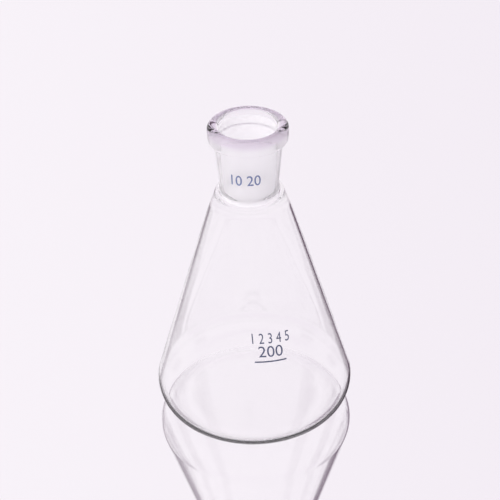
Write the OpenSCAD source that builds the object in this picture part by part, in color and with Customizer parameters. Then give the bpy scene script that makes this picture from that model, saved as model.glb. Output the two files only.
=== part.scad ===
// Conical flask of clear borosilicate glass with a ground taper socket.
// It is blown in one piece: a base pushed up in the middle, a round heel, a long cone
// that draws in slightly towards a short shoulder, and a socket whose mouth is thickened
// into a bead.
// The whole flask is one half section turned about its upright axis.

/* [Body] */
// Widest outside diameter of the flask, at the top of the heel
body_d = 88; // [80:0.5:95]
// Outside radius of the heel, where the side turns under to the base
heel_r = 12.8; // [9:0.2:16]
// Thickness of the side wall
wall = 1; // [0.8:0.1:2]
// Thickness of the glass round the heel
heel_wall = 1.8; // [1.2:0.1:3]

/* [Base] */
// Thickness of the glass under the base
base_wall = 2.2; // [1.4:0.1:3.2]
// Width of the flat ring that the flask stands on
foot_w = 1.7; // [1:0.1:4]
// Rise of the pushed-up middle of the base
punt_h = 1.2; // [0.6:0.1:2.5]

/* [Shoulder] */
// Outside radius of the long curve by which the side draws in towards the shoulder
draw_r = 200; // [140:10:400]
// Angle by which the side leans in more at the shoulder than an all straight one would
draw_turn = 4; // [2:0.5:6]
// Outside radius of the shoulder's turn
shoulder_r = 4.5; // [3.5:0.1:5.5]
// Inside radius of the shoulder's turn
shoulder_inner_r = 8; // [5:0.5:10]
// Height of the shoulder's top above the lower end of the ground zone
shoulder_rise = 2.4; // [1.6:0.1:3.4]
// Radius of the corner between the shoulder and the neck
neck_fillet = 1.6; // [0.8:0.1:2.4]
// Length of the clear throat below the ground zone, down to the body's space
throat_len = 2.2; // [2:0.1:3]
// Radius of the throat's fused lower edge
throat_r = 2; // [0.8:0.1:2.2]

/* [Socket] */
// Height of the flask, from the foot to the rim
height = 142; // [132:0.5:155]
// Bore at the wide end of the ground zone
socket_d = 24; // [22:0.1:25]
// Length of the ground zone, along the axis
ground_len = 29; // [26:0.5:34]
// Length of the bore in which its diameter narrows by 1 mm
taper = 10; // [8:0.5:14]
// Wall of the neck where it leaves the shoulder
neck_wall = 1.9; // [1.5:0.1:2.3]
// Wall of the neck where it meets the bead
neck_top_wall = 2.5; // [2:0.1:3]

/* [Bead] */
// Outside diameter of the bead at the mouth
bead_d = 34; // [33:0.1:36]
// Height of the bead, from its underside to the rim
bead_h = 8; // [6:0.1:10]
// Radius of the rim's inner edge
rim_inner_r = 2.5; // [1.5:0.1:3.5]
// Radius of the bead's lower edge
bead_under_r = 2.5; // [1.5:0.1:3]
// Radius of the corner between the bead and the neck
bead_fillet = 1; // [0.5:0.1:2]

/* [Hidden] */
$fn = 120;
glass_tint = [0.9, 0.87, 0.93, 0.45];
// Depth by which a curve and the side that it touches cross, so that they meet cleanly
tuck = 0.002;
// Depth of the straight side, which passes under the heel's curve and under the long one
side_tuck = 2 * tuck;

// Socket: the bore is widest where the rim's inner curve ends
ground_top_z = height - rim_inner_r;
ground_end_z = ground_top_z - ground_len;
bore_r = socket_d / 2;
throat_bore_r = bore_r - ground_len / taper / 2;
throat_p = [throat_bore_r, ground_end_z - throat_len];

// Bead: the rim's inner and outer curves meet at its crest
bead_r = bead_d / 2;
rim_outer_r = bead_r - bore_r - rim_inner_r;
rim_inner_c = [bore_r + rim_inner_r, ground_top_z];
rim_outer_c = [bead_r - rim_outer_r, height - rim_outer_r];
under_c = [bead_r - bead_under_r, height - bead_h + bead_under_r];

// Side: the one line that touches both the heel's circle and the long curve's.
// The long curve touches the shoulder's circle where the side leans in by draw_lean.
shoulder_z = ground_end_z + shoulder_rise;
heel_c = [body_d / 2 - heel_r, heel_r];
shoulder_c = [throat_bore_r, shoulder_z - shoulder_r];
draw_lean = touching_lean(heel_c, heel_r, shoulder_c, shoulder_r) + draw_turn;
draw_c = shoulder_c - (draw_r - shoulder_r) * outward(draw_lean);
side_lean = touching_lean(heel_c, heel_r, draw_c, draw_r);
side_out = outward(side_lean);

// Neck: a straight side that leans out from the shoulder to the bead
neck_low = [throat_bore_r + neck_wall, shoulder_z];
neck_high = [bore_r + neck_top_wall, height - bead_h];
neck_lean = atan2(neck_low.x - neck_high.x, neck_high.y - neck_low.y);
neck_out = outward(neck_lean);
neck_corner = corner(shoulder_c, shoulder_r, neck_low, neck_lean, neck_fillet, 1);
bead_corner = corner(under_c, bead_under_r, neck_low, neck_lean, bead_fillet, -1);

// Inside: the side and its long curve moved in by the wall, and the circles that touch them
inner_reach = heel_c * side_out + heel_r - wall;
heel_inner_r = heel_r - heel_wall;
heel_inner_z = base_wall + heel_inner_r;
heel_inner_c = [
    (inner_reach - heel_inner_r - heel_inner_z * side_out.y) / side_out.x,
    heel_inner_z,
];
draw_inner_r = draw_r - wall;
shoulder_inner_c = meeting(
    draw_c, draw_inner_r - shoulder_inner_r, throat_p, shoulder_inner_r
);
inner_turn = shoulder_inner_c - draw_c;
draw_inner_lean = atan2(inner_turn.y, inner_turn.x);
throat_corner = corner(shoulder_inner_c, shoulder_inner_r, throat_p, 0, throat_r, 1);

// Base: the push-up is part of a large ball that meets the foot's inner edge
foot_inner_r = heel_c.x - foot_w;
punt_r = (foot_inner_r ^ 2 + punt_h ^ 2) / (2 * punt_h);

// Unit vectors out of and up along a side that leans in by an angle
function outward(lean) = [cos(lean), sin(lean)];
function upward(lean) = [-sin(lean), cos(lean)];

// Lean of the line that touches a low circle and a high one on their outer sides
function touching_lean(low, low_r, high, high_r) =
    let (span = low - high)
    atan2(span.y, span.x) + acos((high_r - low_r) / norm(span));

// Centre of a hollow corner curve that touches a disc and the side through a point,
// above the disc (way = 1) or below it (way = -1)
function corner(c, r, p, lean, fillet, way) =
    let (across = (p - c) * outward(lean) + fillet)
    c + across * outward(lean)
        + way * sqrt((r + fillet) ^ 2 - across ^ 2) * upward(lean);

// Point at a distance of ra from a and rb from b, to the right of the way from a to b
function meeting(a, ra, b, rb) =
    let (
        gap = norm(b - a),
        ahead = (b - a) / gap,
        along = (ra ^ 2 - rb ^ 2 + gap ^ 2) / (2 * gap)
    )
    a + along * ahead + sqrt(ra ^ 2 - along ^ 2) * [ahead.y, -ahead.x];

module disc(c, r) {
    translate(c) circle(r);
}

// Strip under the long curve, from just below the straight side up to a lean
module draw_strip(r, lean) {
    depth = 1;
    below = 1;
    intersection() {
        translate(draw_c) circle(r - tuck, $fn = 1440);
        polygon([
            draw_c + (r - depth) * outward(side_lean - below),
            draw_c + (r + depth) * outward(side_lean - below),
            draw_c + (r + depth) * outward(lean),
            draw_c + (r - depth) * outward(lean),
        ]);
    }
}

// Large ball's section whose top makes the push-up, raised by a height
module punt(rise) {
    translate([0, rise + punt_h - punt_r]) circle(punt_r, $fn = 1440);
}

// Half section of the flask's outside, filled to the axis.
// Its outline runs through the centres of the hollow corners, which are then cut out.
module outside() {
    difference() {
        union() {
            polygon([
                [0, 0],
                [heel_c.x, 0],
                heel_c + (heel_r - side_tuck) * side_out,
                draw_c + (draw_r - side_tuck) * side_out,
                draw_c + (draw_r - side_tuck) * outward(draw_lean),
                shoulder_c,
                neck_corner,
                neck_corner - neck_fillet * neck_out,
                bead_corner - bead_fillet * neck_out,
                bead_corner,
                under_c,
                [bead_r, under_c.y],
                [bead_r, rim_outer_c.y],
                [rim_outer_c.x, height],
                [0, height],
            ]);
            disc(heel_c, heel_r);
            draw_strip(draw_r, draw_lean);
            disc(shoulder_c, shoulder_r);
            disc(under_c, bead_under_r);
            disc(rim_outer_c, rim_outer_r);
        }
        disc(neck_corner, neck_fillet + tuck);
        disc(bead_corner, bead_fillet + tuck);
        punt_space();
    }
}

// Hollow under the base
module punt_space() {
    intersection() {
        punt(0);
        square([body_d, punt_h]);
    }
}

// Half section of the space inside, from the floor to above the rim
module inside() {
    above = 1;
    difference() {
        union() {
            polygon([
                [0, base_wall],
                [heel_inner_c.x, base_wall],
                heel_inner_c + (heel_inner_r - side_tuck) * side_out,
                draw_c + (draw_inner_r - side_tuck) * side_out,
                draw_c + (draw_inner_r - side_tuck) * outward(draw_inner_lean),
                shoulder_inner_c,
                throat_corner,
                throat_corner - [throat_r, 0],
                [throat_bore_r, ground_end_z],
                [bore_r, ground_top_z],
                [rim_inner_c.x, ground_top_z],
                [rim_inner_c.x, height + above],
                [0, height + above],
            ]);
            disc(heel_inner_c, heel_inner_r);
            draw_strip(draw_inner_r, draw_inner_lean);
            intersection() {
                disc(shoulder_inner_c, shoulder_inner_r);
                square([body_d, height]);
            }
        }
        disc(throat_corner, throat_r + tuck);
        disc(rim_inner_c, rim_inner_r);
        punt(base_wall);
    }
}

module flask() {
    color(glass_tint) rotate_extrude() difference() {
        outside();
        inside();
    }
}

flask();
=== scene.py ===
from math import acos, atan2, cos, degrees, hypot, pi, radians, sin, sqrt

import bpy
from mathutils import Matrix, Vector


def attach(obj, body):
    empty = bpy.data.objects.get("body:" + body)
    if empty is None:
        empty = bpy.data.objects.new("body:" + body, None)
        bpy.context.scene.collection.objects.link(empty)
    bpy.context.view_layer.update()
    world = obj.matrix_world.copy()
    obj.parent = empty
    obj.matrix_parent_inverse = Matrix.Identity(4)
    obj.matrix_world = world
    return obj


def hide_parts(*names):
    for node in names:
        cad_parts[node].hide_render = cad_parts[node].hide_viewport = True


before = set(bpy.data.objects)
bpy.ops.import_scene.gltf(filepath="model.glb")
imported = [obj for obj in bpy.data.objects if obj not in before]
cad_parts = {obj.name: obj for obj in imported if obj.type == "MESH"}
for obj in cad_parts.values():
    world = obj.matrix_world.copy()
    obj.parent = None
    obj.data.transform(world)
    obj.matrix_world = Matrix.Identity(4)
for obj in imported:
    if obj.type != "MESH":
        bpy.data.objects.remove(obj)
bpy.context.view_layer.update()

# ---- Flask: a conical flask and its socket, blown from clear borosilicate glass in one piece.
# Its half section is drawn line by line and curve by curve, then turned round the axis. The bore
# of the neck is ground to a matt taper after blowing, so those faces get a finish of their own.

mm = 0.001
height, body_r, wall = 142.0, 44.0, 1.0
heel_r, heel_wall = 12.8, 1.8
base_wall, foot_w, punt_h = 2.2, 1.7, 1.2
draw_r, draw_turn = 200.0, radians(4)
shoulder_r, shoulder_inner_r, shoulder_rise = 4.5, 8.0, 2.4
throat_len, throat_r = 2.2, 2.0
bore_r, ground_len, taper = 12.0, 29.0, 10.0
neck_wall, neck_top_wall, neck_fillet = 1.9, 2.5, 1.6
bead_r, bead_h, bead_under_r, bead_fillet = 17.0, 8.0, 2.5, 1.0
rim_inner_r = 2.5


def outward(lean):
    """Way straight out from a side that leans in by an angle."""
    return Vector((cos(lean), sin(lean)))


def upward(lean):
    return Vector((-sin(lean), cos(lean)))


def touching_lean(low, low_r, high, high_r):
    """Lean of the side that touches a low circle and a high one from outside."""
    span = low - high
    return atan2(span.y, span.x) + acos((high_r - low_r) / span.length)


def corner(c, r, p, lean, fillet, way):
    """Centre of a hollow curve between a disc and a side, above the disc (1) or below it (-1)."""
    across = (p - c).dot(outward(lean)) + fillet
    rise = sqrt((r + fillet) ** 2 - across**2)
    return c + across * outward(lean) + way * rise * upward(lean)


# Socket and bead
ground_top_z = height - rim_inner_r
ground_end_z = ground_top_z - ground_len
throat_bore_r = bore_r - ground_len / taper / 2
throat_p = Vector((throat_bore_r, ground_end_z - throat_len))
rim_outer_r = bead_r - bore_r - rim_inner_r
rim_outer_c = Vector((bead_r - rim_outer_r, height - rim_outer_r))
rim_inner_c = Vector((bore_r + rim_inner_r, ground_top_z))
under_c = Vector((bead_r - bead_under_r, height - bead_h + bead_under_r))

# Outside, from the heel to the neck
heel_c = Vector((body_r - heel_r, heel_r))
shoulder_z = ground_end_z + shoulder_rise
shoulder_c = Vector((throat_bore_r, shoulder_z - shoulder_r))
draw_out = outward(touching_lean(heel_c, heel_r, shoulder_c, shoulder_r) + draw_turn)
draw_c = shoulder_c - (draw_r - shoulder_r) * draw_out
side_out = outward(touching_lean(heel_c, heel_r, draw_c, draw_r))
neck_low = Vector((throat_bore_r + neck_wall, shoulder_z))
neck_high = Vector((bore_r + neck_top_wall, height - bead_h))
neck_lean = atan2(neck_low.x - neck_high.x, neck_high.y - neck_low.y)
neck_out = outward(neck_lean)
neck_corner = corner(shoulder_c, shoulder_r, neck_low, neck_lean, neck_fillet, 1)
bead_corner = corner(under_c, bead_under_r, neck_low, neck_lean, bead_fillet, -1)

# Inside, from the base to the throat
side_reach = heel_c.dot(side_out) + heel_r
heel_inner_r = heel_r - heel_wall
heel_inner_z = base_wall + heel_inner_r
heel_inner_x = (side_reach - wall - heel_inner_r - heel_inner_z * side_out.y) / side_out.x
heel_inner_c = Vector((heel_inner_x, heel_inner_z))
draw_inner_r = draw_r - wall
inner_reach = draw_inner_r - shoulder_inner_r
to_throat = throat_p - draw_c
ahead = to_throat.normalized()
along = (inner_reach**2 - shoulder_inner_r**2 + to_throat.length_squared) / (2 * to_throat.length)
aside = sqrt(inner_reach**2 - along**2)
shoulder_inner_c = draw_c + along * ahead + aside * Vector((ahead.y, -ahead.x))
draw_inner_end = draw_c + draw_inner_r * (shoulder_inner_c - draw_c).normalized()
throat_corner = corner(shoulder_inner_c, shoulder_inner_r, throat_p, 0, throat_r, 1)

# Base: the push-up is part of a large ball that meets the foot's inner edge
foot_inner_r = heel_c.x - foot_w
punt_r = (foot_inner_r**2 + punt_h**2) / (2 * punt_h)


def deselect_all():
    bpy.ops.object.select_all(action="DESELECT")


def line_to(p, step=2.0):
    """Draws a straight side of the section, in steps of a few mm that shade evenly."""
    global pen
    count = max(1, round((p - pen).length / step))
    move = (p - pen) / count * mm
    for _ in range(count):
        bpy.ops.mesh.extrude_region_move(TRANSFORM_OT_translate={"value": (move.x, 0, move.y)})
    pen = p.copy()


def curve_to(centre, p, step=6.0):
    """Draws a curve about its centre, the short way round to a point, in steps of an angle."""
    global pen
    a, b = pen - centre, p - centre
    angle = atan2(a.x * b.y - a.y * b.x, a.dot(b))
    bpy.ops.mesh.spin(
        steps=max(3, round(abs(degrees(angle)) / step)),
        angle=angle,
        center=(centre.x * mm, 0, centre.y * mm),
        axis=(0, 1, 0),
    )
    pen = p.copy()


def towards(a, b, r):
    return a + (b - a).normalized() * r


deselect_all()
bpy.ops.mesh.primitive_plane_add(size=mm, location=(0, 0, punt_h * mm))
flask = bpy.context.object
flask.name = "flask_glass"
bpy.ops.object.mode_set(mode="EDIT")
bpy.ops.mesh.merge(type="CENTER")
pen = Vector((0, punt_h))
# Outside, from the middle of the base up to the mouth
curve_to(Vector((0, punt_h - punt_r)), Vector((foot_inner_r, 0)), step=0.4)
line_to(heel_c - Vector((0, heel_r)), step=0.6)
curve_to(heel_c, heel_c + heel_r * side_out, step=4)
line_to(draw_c + draw_r * side_out)
curve_to(draw_c, draw_c + draw_r * draw_out, step=0.4)
curve_to(shoulder_c, towards(shoulder_c, neck_corner, shoulder_r))
curve_to(neck_corner, neck_corner - neck_fillet * neck_out, step=8)
line_to(bead_corner - bead_fillet * neck_out, step=1.5)
curve_to(bead_corner, towards(bead_corner, under_c, bead_fillet), step=10)
curve_to(under_c, under_c + Vector((bead_under_r, 0)))
line_to(rim_outer_c + Vector((rim_outer_r, 0)), step=0.6)
curve_to(rim_outer_c, rim_outer_c + Vector((0, rim_outer_r)))
# Inside, from the mouth down to the middle of the base
curve_to(rim_inner_c, rim_inner_c - Vector((rim_inner_r, 0)))
line_to(Vector((throat_bore_r, ground_end_z)), step=1.5)
line_to(throat_corner - Vector((throat_r, 0)), step=0.4)
curve_to(throat_corner, towards(throat_corner, shoulder_inner_c, throat_r), step=8)
curve_to(shoulder_inner_c, draw_inner_end, step=4)
curve_to(draw_c, draw_c + draw_inner_r * side_out, step=0.4)
line_to(heel_inner_c + heel_inner_r * side_out)
curve_to(heel_inner_c, heel_inner_c - Vector((0, heel_inner_r)), step=4)
line_to(Vector((foot_inner_r, base_wall)), step=0.6)
curve_to(Vector((0, base_wall + punt_h - punt_r)), Vector((0, base_wall + punt_h)), step=0.4)
bpy.ops.mesh.select_all(action="SELECT")
bpy.ops.mesh.spin(steps=192, angle=2 * pi, center=(0, 0, 0), axis=(0, 0, 1))
bpy.ops.mesh.select_all(action="SELECT")
bpy.ops.mesh.remove_doubles(threshold=1e-6)
bpy.ops.mesh.normals_make_consistent(inside=False)
bpy.ops.object.mode_set(mode="OBJECT")
bpy.ops.object.transform_apply()
bpy.ops.object.shade_smooth()


class Value:
    """A number that varies over a surface. Sums on it add Math nodes."""

    def __init__(self, finish, socket):
        self.finish, self.socket = finish, socket

    def maths(self, operation, *values):
        return self.finish.node("Math", {"operation": operation}, values)

    def __add__(self, other):
        return self.maths("ADD", self, other)

    def __sub__(self, other):
        return self.maths("SUBTRACT", self, other)

    def __rsub__(self, other):
        return self.maths("SUBTRACT", other, self)

    def __mul__(self, other):
        return self.maths("MULTIPLY", self, other)

    __radd__, __rmul__ = __add__, __mul__

    def smooth(self, low, high):
        """0 up to low, 1 from high on."""
        limits = {"Value": self, "From Min": low, "From Max": high}
        return self.finish.node("MapRange", {"interpolation_type": "SMOOTHSTEP"}, limits)

    def band(self, start, full, fading, end):
        """1 from full to fading, 0 before start and after end."""
        return self.smooth(start, full) * (1 - self.smooth(fading, end))


class Finish:
    """A material or a world, built node by node."""

    def __init__(self, owner):
        owner.use_nodes = True
        self.tree = owner.node_tree
        self.tree.nodes.clear()

    def node(self, kind, settings=None, inputs=None, out=0):
        n = self.tree.nodes.new("ShaderNode" + kind)
        for name, value in (settings or {}).items():
            setattr(n, name, value)
        named = inputs.items() if isinstance(inputs, dict) else enumerate(inputs or ())
        for name, value in named:
            if isinstance(value, Value):
                self.tree.links.new(value.socket, n.inputs[name])
            else:
                n.inputs[name].default_value = value
        return Value(self, n.outputs[out]) if n.outputs else None

    def place(self):
        """Place of a point in its own piece, in metres."""
        return self.node("TexCoord", out="Object")

    def scaled(self, vector, factors):
        return self.node("VectorMath", {"operation": "MULTIPLY"}, [vector, factors])

    def noise(self, vector, scale, detail):
        return self.node("TexNoise", None, {"Vector": vector, "Scale": scale, "Detail": detail})

    def bump(self, relief, strength, depth):
        sockets = {"Height": relief, "Strength": strength, "Distance": depth}
        return self.node("Bump", None, sockets)

    def tint(self, factor, a, b):
        """A colour between two others."""
        return self.node("Mix", {"data_type": "RGBA"}, {0: factor, 6: a, 7: b}, out=2)

    def blend(self, factor, a, b):
        """A shader between two others."""
        return self.node("MixShader", None, [factor, a, b])

    def ray(self, kind):
        return self.node("LightPath", out=f"Is {kind} Ray")

    def show(self, shader, kind="OutputMaterial"):
        self.node(kind, None, {"Surface": shader})

    def show_glass(self, shader, shadow_tone):
        """Shows a glass that lets the lamp through, so that its shadow is only a faint tint."""
        clear = self.node("BsdfTransparent", None, {"Color": shadow_tone})
        self.show(self.blend(self.ray("Shadow"), shader, clear))


white = (1, 1, 1, 1)
borosilicate_ior = 1.473

# Blown glass is never quite even: long shallow waves bend what is seen through it. The bead has
# a painted lilac shade on its outer rounding and a deeper one along its crest, standing for the
# darker room that the bead shows through and in its surface.
glass = bpy.data.materials.new("clear_glass")
f = Finish(glass)
place = f.place()
z = f.node("SeparateXYZ", None, [place], out="Z") * (1 / mm)
flat = f.scaled(place, (1 / mm, 1 / mm, 0))
r = f.node("VectorMath", {"operation": "LENGTH"}, [flat], out="Value")
# Where the painted lilac shade lies on the bead: its outer rounding, and more deeply its crest
rounding_painted_shade = z.smooth(height - 5.2, height - 1.4) * r.smooth(bead_r - 3.4, bead_r - 2)
crest_painted_shade = z.smooth(height - 0.8, height - 0.05)
bead_painted_shade = f.tint(rounding_painted_shade, white, (0.8, 0.7, 0.83, 1))
clear_sockets = {
    "Base Color": f.tint(crest_painted_shade, bead_painted_shade, (0.68, 0.56, 0.72, 1)),
    "Roughness": 0.0,
    "IOR": borosilicate_ior,
    "Transmission Weight": 1.0,
    "Normal": f.bump(f.noise(place, 45.0, 1.0), 0.25, 0.2 * mm),
}
f.show_glass(f.node("BsdfPrincipled", None, clear_sockets), (0.95, 0.94, 0.96, 1))

# The ground taper is matt and white, with the fine rings that the grinding leaves
ground = bpy.data.materials.new("ground_glass")
f = Finish(ground)
rings = f.noise(f.scaled(f.place(), (60, 60, 2600)), 1.0, 3.0)
matt_sockets = {
    "Base Color": white,
    "Roughness": rings * 0.2 + 0.3,
    "IOR": borosilicate_ior,
    "Transmission Weight": 0.62,
    "Normal": f.bump(rings, 0.3, 0.03 * mm),
}
f.show_glass(f.node("BsdfPrincipled", None, matt_sockets), (0.85, 0.84, 0.87, 1))

flask.data.materials.append(glass)
flask.data.materials.append(ground)
for face in flask.data.polygons:
    x, y, z = face.center / mm
    if hypot(x, y) < bore_r + 0.1 and throat_p.y < z < ground_top_z:
        face.material_index = 1
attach(flask, "root")
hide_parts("flask")

# ---- Print: three rows of plain numbers and a level line, in blue enamel.
# Each is laid on as a transfer and fired onto the glass. Here it is set flat, made a mesh,
# wrapped onto the side it stands on, and given the thickness of the enamel.

enamel_gap, enamel_thickness = 0.02, 0.03


def body_side(z):
    """Radius of the straight side of the body at a height."""
    return (side_reach - z * side_out.y) / side_out.x


def neck_side(z):
    """Radius of the neck's side at a height."""
    return neck_low.x + (z - neck_low.y) * (neck_high.x - neck_low.x) / (neck_high.y - neck_low.y)


def fire_on(piece, side, turn, z, tilt=0.0, lean=1.0):
    """Wraps a flat piece, drawn in mm about its centre, onto a side of the flask."""
    for v in piece.data.vertices:
        level = z + (v.co.y + tilt * v.co.x) * lean
        r = side(level) + enamel_gap
        angle = radians(turn) + v.co.x / r
        v.co = Vector((r * sin(angle), -r * cos(angle), level)) * mm
    deselect_all()
    piece.select_set(True)
    bpy.context.view_layer.objects.active = piece
    enamel_coat = piece.modifiers.new("enamel", "SOLIDIFY")
    enamel_coat.thickness, enamel_coat.offset = enamel_thickness * mm, 1
    bpy.ops.object.modifier_apply(modifier=enamel_coat.name)
    return piece


def number_row(name, numbers, row_h, row_w, **position):
    """Sets a row of numbers to its height and width in mm, and fires it on."""
    deselect_all()
    bpy.ops.object.text_add()
    row = bpy.context.object
    row.name = name
    row.data.body, row.data.size = numbers, row_h
    row.data.align_x, row.data.align_y = "CENTER", "CENTER"
    row.data.resolution_u = 6
    bpy.ops.object.convert(target="MESH")
    xs = [v.co.x for v in row.data.vertices]
    ys = [v.co.y for v in row.data.vertices]
    for v in row.data.vertices:
        v.co.x = (v.co.x - (max(xs) + min(xs)) / 2) * row_w / (max(xs) - min(xs))
        v.co.y = (v.co.y - (max(ys) + min(ys)) / 2) * row_h / (max(ys) - min(ys))
    return fire_on(row, **position)


def enamel(name, dark, light):
    """Fired enamel: slightly cloudy, with a faintly uneven surface."""
    paint = bpy.data.materials.new(name)
    f = Finish(paint)
    cloud = f.noise(f.place(), 900.0, 3.0)
    grain = f.noise(f.place(), 5000.0, 2.0)
    sockets = {
        "Base Color": f.tint(cloud.smooth(0.35, 0.65), dark, light),
        "Roughness": grain * 0.3 + 0.3,
        "Normal": f.bump(grain, 0.4, 0.01 * mm),
    }
    f.show(f.node("BsdfPrincipled", None, sockets))
    return paint


side_enamel = enamel("side_enamel", (0.045, 0.055, 0.1, 1), (0.075, 0.09, 0.16, 1))
neck_enamel = enamel("neck_enamel", (0.08, 0.12, 0.25, 1), (0.11, 0.16, 0.32, 1))

on_neck = {"side": neck_side, "turn": -6.4, "z": 122.2, "tilt": 0.02}
on_body = {"side": body_side, "lean": 0.96}
rows = [
    number_row("neck_numbers", "10 20", 5.0, 12.6, **on_neck),
    number_row("side_numbers", "1 2 3 4 5", 4.7, 16.3, turn=13.3, z=54.9, tilt=-0.06, **on_body),
    number_row("level_number", "200", 5.0, 10.6, turn=12.3, z=49.2, tilt=-0.06, **on_body),
]

line_w, line_h = 14.0, 0.62
deselect_all()
bpy.ops.mesh.primitive_grid_add(x_subdivisions=24, y_subdivisions=1, size=1)
level_line = bpy.context.object
level_line.name = "level_line"
for v in level_line.data.vertices:
    v.co.x, v.co.y = v.co.x * line_w, v.co.y * line_h
rows.append(fire_on(level_line, turn=11.8, z=44.9, tilt=-0.04, **on_body))

for row in rows:
    row.data.materials.clear()
    row.data.materials.append(neck_enamel if row.name == "neck_numbers" else side_enamel)
    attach(row, "root")

# ---- Studio: a polished pale floor, a pale room round it, and one soft lamp.
# None of it is part of the flask. The room's dark panels draw the lines that glass shows at its
# edges, so only rays that polished glass or the floor bends or mirrors see them.

pale = (0.905, 0.863, 0.913, 1)
deselect_all()
bpy.ops.mesh.primitive_plane_add(size=6, location=(0, 0, 0))
floor = bpy.context.object
floor.name = "studio_floor"
floor_finish = bpy.data.materials.new("polished_floor")
f = Finish(floor_finish)
glow = f.node("Emission", None, {"Color": pale, "Strength": 1.0})
gloss = f.node("BsdfGlossy", None, {"Color": (0.99, 0.985, 0.99, 1), "Roughness": 0.0})
matt = f.node("BsdfDiffuse", None, {"Color": pale})
mirror = f.ray("Transmission") * 0.17 + 0.8
polished = f.blend(mirror, f.blend(0.08, glow, matt), gloss)
f.show(f.blend(f.ray("Diffuse"), polished, matt))
floor.data.materials.append(floor_finish)

room = bpy.data.worlds.new("studio")
bpy.context.scene.world = room
f = Finish(room)
way = f.node("SeparateXYZ", None, [f.node("TexCoord", out="Generated")])
right, away, up = (Value(f, way.socket.node.outputs[axis]) for axis in "XYZ")

# Angles in degrees: turn is 0 straight behind the flask and grows to the right, and rise is 0
# level with the floor
turn = f.node("Math", {"operation": "ARCTAN2"}, [right, away]) * (180 / pi)
rise = f.node("Math", {"operation": "ARCSINE"}, [up]) * (180 / pi)
off = turn.maths("ABSOLUTE", turn)
camera_ray, through_ray = f.ray("Camera"), f.ray("Transmission")
sharp = f.ray("Singular") * (1 - camera_ray)

# Two dark panels stand at the sides. Seen through the bead and in the floor they reach closer.
closer = through_ray * rise.band(34, 38, 50, 54)
left_edge = 15 + 18 * rise.smooth(25, 29) - 10 * rise.smooth(40, 44)
left_edge = left_edge * (1 - closer) + closer * 10
right_edge = 23 - 13 * closer
dark_left = (turn * -1.0 - left_edge).smooth(-2, 2) * 0.7
dark_right = (turn - right_edge).smooth(-2, 2)
panels = (dark_left + dark_right) * (1 - off.smooth(39, 46)) * rise.band(14, 20, 56, 62)

# Narrow dark strips stand low round the sides of the room, and its back is dimmer
strip_wave = turn * (8 * pi / 180)
strips = (strip_wave.maths("COSINE", strip_wave) * -1.0).smooth(0.15, 0.6)
strips = strips * off.band(48, 56, 128, 138) * (1 - rise.smooth(22, 28))
dim_back = off.smooth(80, 100) * rise.band(24, 32, 50, 58)

# A bright panel hangs overhead for the matt surfaces alone
overhead = rise.smooth(60, 66) * (1 - off.smooth(95, 120) * (1 - rise.smooth(76, 82)))

left_wall, right_wall = (0.915, 0.875, 0.92, 1), (0.865, 0.815, 0.875, 1)
wall_tone = f.tint(right.smooth(-0.25, 0.25), left_wall, right_wall)
panel_tone = f.tint(through_ray, (0.05, 0.003, 0.042, 1), (0.085, 0.015, 0.09, 1))
hue = f.tint(panels * sharp, wall_tone, panel_tone)
hue = f.tint(strips * through_ray * sharp * 0.85, hue, panel_tone)
hue = f.tint(dim_back * through_ray * sharp * 0.7, hue, (0.42, 0.28, 0.46, 1))
brightness = overhead * (1 - camera_ray - sharp) * 2.8 + 1.04
f.show(f.node("Background", None, {"Color": hue, "Strength": brightness}), "OutputWorld")

bpy.ops.object.light_add(type="AREA", location=(-0.9, -0.5, 1.1))
lamp = bpy.context.object
lamp.data.size, lamp.data.energy = 0.6, 8
lamp.visible_glossy = lamp.visible_transmission = False
lamp.rotation_euler = (Vector((0, 0, 0.07)) - lamp.location).to_track_quat("-Z", "Y").to_euler()

# ---- Camera: it looks down on the flask from the front, with a slight roll.
# Its place, lens and roll were solved from the outlines of the flask and of its reflection.

frame_px, focal_px, sensor_mm = 500, 1474.41, 36
target = Vector((-0.5, 0, 79.57)) * mm
elevation, distance, roll = radians(33.5), 639.22 * mm, radians(1.61)
place = target + distance * Vector((0, -cos(elevation), sin(elevation)))
bpy.ops.object.camera_add(location=place)
camera = bpy.context.object
camera.rotation_euler = (target - camera.location).to_track_quat("-Z", "Y").to_euler()
camera.rotation_euler.rotate_axis("Z", -roll)
camera.data.sensor_width = sensor_mm
camera.data.lens = focal_px * sensor_mm / frame_px
camera.data.clip_start, camera.data.clip_end = 0.01, 50
bpy.context.scene.camera = camera

bpy.context.scene.view_settings.view_transform = "Standard"
